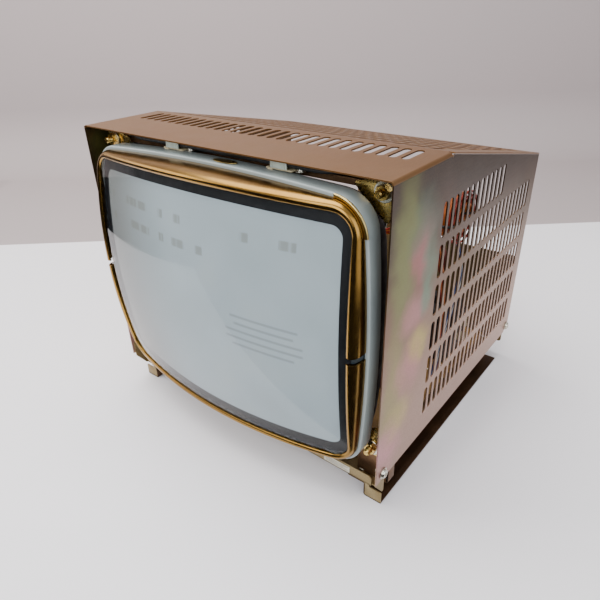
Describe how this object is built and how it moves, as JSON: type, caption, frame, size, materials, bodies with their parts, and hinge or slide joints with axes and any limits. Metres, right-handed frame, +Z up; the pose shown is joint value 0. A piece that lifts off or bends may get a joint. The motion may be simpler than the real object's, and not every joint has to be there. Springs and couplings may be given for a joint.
{
  "type": "open-frame colour crt monitor",
  "caption": "Open-frame picture-tube monitor: bulging glass face in gold rim shells, slotted sheet-steel cover with a sloping roof, base pan on two foot rails.",
  "frame": {"origin": "on the floor, under the middle of the whole length and width", "axes": "+Z up, the screen faces -Y, +X to the viewer's right when looking at the screen"},
  "size_m": [0.347, 0.347, 0.304],
  "materials": {
    "passivated_cover": "yellow-passivated steel sheet, satin, faint rainbow clouds",
    "passivated_chassis": "yellow-passivated steel sheet, satin, olive brown",
    "gold_rim": "bright gold-passivated pressed steel",
    "grey_band": "smooth blue-grey moulded band",
    "bright_zinc": "bright zinc plate",
    "yellow_zinc": "bright yellow zinc plate",
    "face_glass": "polished tube glass over a blue-grey phosphor with a black border",
    "bulb_coating": "dull black conductive coating on glass",
    "neck_glass": "clear glass",
    "mask_steel": "dull dark steel",
    "black_plastic": "moulded, matt",
    "white_plastic": "moulded, matt",
    "cream_plastic": "moulded, matt",
    "black_tape": "wound plastic tape",
    "ferrite": "dull sintered ferrite",
    "enamelled_copper": "enamelled copper wire, lacquered",
    "circuit_board": "phenolic paper board",
    "red_rubber": "dull silicone rubber",
    "heatsink_alloy": "plain extruded alloy",
    "blank_label": "blank matt label"
  },
  "bodies": {
    "chassis": {"cover_screw_front_left": "bright_zinc", "cover_screw_front_right": "bright_zinc", "cover_screw_rear_left": "bright_zinc", "cover_screw_rear_right": "bright_zinc", "base_pan": "passivated_chassis", "foot_right": "passivated_chassis", "foot_left": "passivated_chassis", "lip_label": "blank_label", "rear_panel": "passivated_chassis", "power_inlet": "black_plastic", "signal_socket": "black_plastic", "front_frame_right": "passivated_chassis", "front_frame_left": "passivated_chassis", "front_frame_rail": "passivated_chassis", "crt_panel": "face_glass", "crt_funnel": "bulb_coating", "crt_neck": "neck_glass", "shadow_mask": "mask_steel", "electron_gun": "mask_steel", "rim_shell_upper": "gold_rim", "rim_shell_lower": "gold_rim", "skirt_band": "grey_band", "band_tab": "gold_rim", "ear_upper_left": "bright_zinc", "ear_upper_right": "bright_zinc", "ear_lower_left": "bright_zinc", "ear_lower_right": "bright_zinc", "nut_upper_left": "yellow_zinc", "nut_upper_right": "yellow_zinc", "nut_lower_left": "yellow_zinc", "nut_lower_right": "yellow_zinc", "degauss_coil": "black_tape", "coil_clip_left": "white_plastic", "coil_clip_right": "white_plastic", "ring_sleeve": "black_plastic", "main_board": "circuit_board", "flyback_transformer": "black_plastic", "heatsink": "heatsink_alloy", "filter_capacitor": "black_plastic", "anode_cap": "red_rubber", "anode_lead": "red_rubber"},
    "cover": {"cover_top": "passivated_cover", "cover_side_right": "passivated_cover", "cover_side_left": "passivated_cover"},
    "yoke": {"yoke_liner": "cream_plastic", "yoke_winding_upper": "enamelled_copper", "yoke_winding_lower": "enamelled_copper", "yoke_core": "ferrite", "yoke_clamp": "bright_zinc"},
    "neck_socket": {"crt_socket": "cream_plastic", "neck_board": "circuit_board"},
    "focus_control": {"focus_knob": "cream_plastic"},
    "screen_control": {"screen_knob": "cream_plastic"},
    "two_pole_ring_a_body": {"two_pole_ring_a": "black_plastic"},
    "two_pole_ring_b_body": {"two_pole_ring_b": "white_plastic"},
    "four_pole_ring_a_body": {"four_pole_ring_a": "black_plastic"},
    "four_pole_ring_b_body": {"four_pole_ring_b": "white_plastic"},
    "six_pole_ring_a_body": {"six_pole_ring_a": "black_plastic"},
    "six_pole_ring_b_body": {"six_pole_ring_b": "white_plastic"}
  },
  "joints": [
    {"name": "cover_lift", "type": "slide", "parent": "chassis", "child": "cover", "axis": [0, 0, 1], "range_m": [0, 0.3]},
    {"name": "yoke_turn", "type": "hinge", "parent": "chassis", "child": "yoke", "pos_m": [0, 0.046, 0.1688], "axis": [0, 1, 0], "range_deg": [-12, 12]},
    {"name": "socket_pull", "type": "slide", "parent": "chassis", "child": "neck_socket", "axis": [0, 1, 0], "range_m": [0, 0.05]},
    {"name": "two_pole_ring_a_turn", "type": "hinge", "parent": "chassis", "child": "two_pole_ring_a_body", "pos_m": [0, 0.0908, 0.1688], "axis": [0, 1, 0], "continuous": true},
    {"name": "two_pole_ring_b_turn", "type": "hinge", "parent": "chassis", "child": "two_pole_ring_b_body", "pos_m": [0, 0.0929, 0.1688], "axis": [0, 1, 0], "continuous": true},
    {"name": "four_pole_ring_a_turn", "type": "hinge", "parent": "chassis", "child": "four_pole_ring_a_body", "pos_m": [0, 0.1008, 0.1688], "axis": [0, 1, 0], "continuous": true},
    {"name": "four_pole_ring_b_turn", "type": "hinge", "parent": "chassis", "child": "four_pole_ring_b_body", "pos_m": [0, 0.1029, 0.1688], "axis": [0, 1, 0], "continuous": true},
    {"name": "six_pole_ring_a_turn", "type": "hinge", "parent": "chassis", "child": "six_pole_ring_a_body", "pos_m": [0, 0.1108, 0.1688], "axis": [0, 1, 0], "continuous": true},
    {"name": "six_pole_ring_b_turn", "type": "hinge", "parent": "chassis", "child": "six_pole_ring_b_body", "pos_m": [0, 0.1129, 0.1688], "axis": [0, 1, 0], "continuous": true},
    {"name": "focus_turn", "type": "hinge", "parent": "chassis", "child": "focus_control", "pos_m": [0.144, 0.093, 0.078], "axis": [1, 0, 0], "range_deg": [-135, 135]},
    {"name": "screen_turn", "type": "hinge", "parent": "chassis", "child": "screen_control", "pos_m": [0.144, 0.093, 0.058], "axis": [1, 0, 0], "range_deg": [-135, 135]}
  ]
}
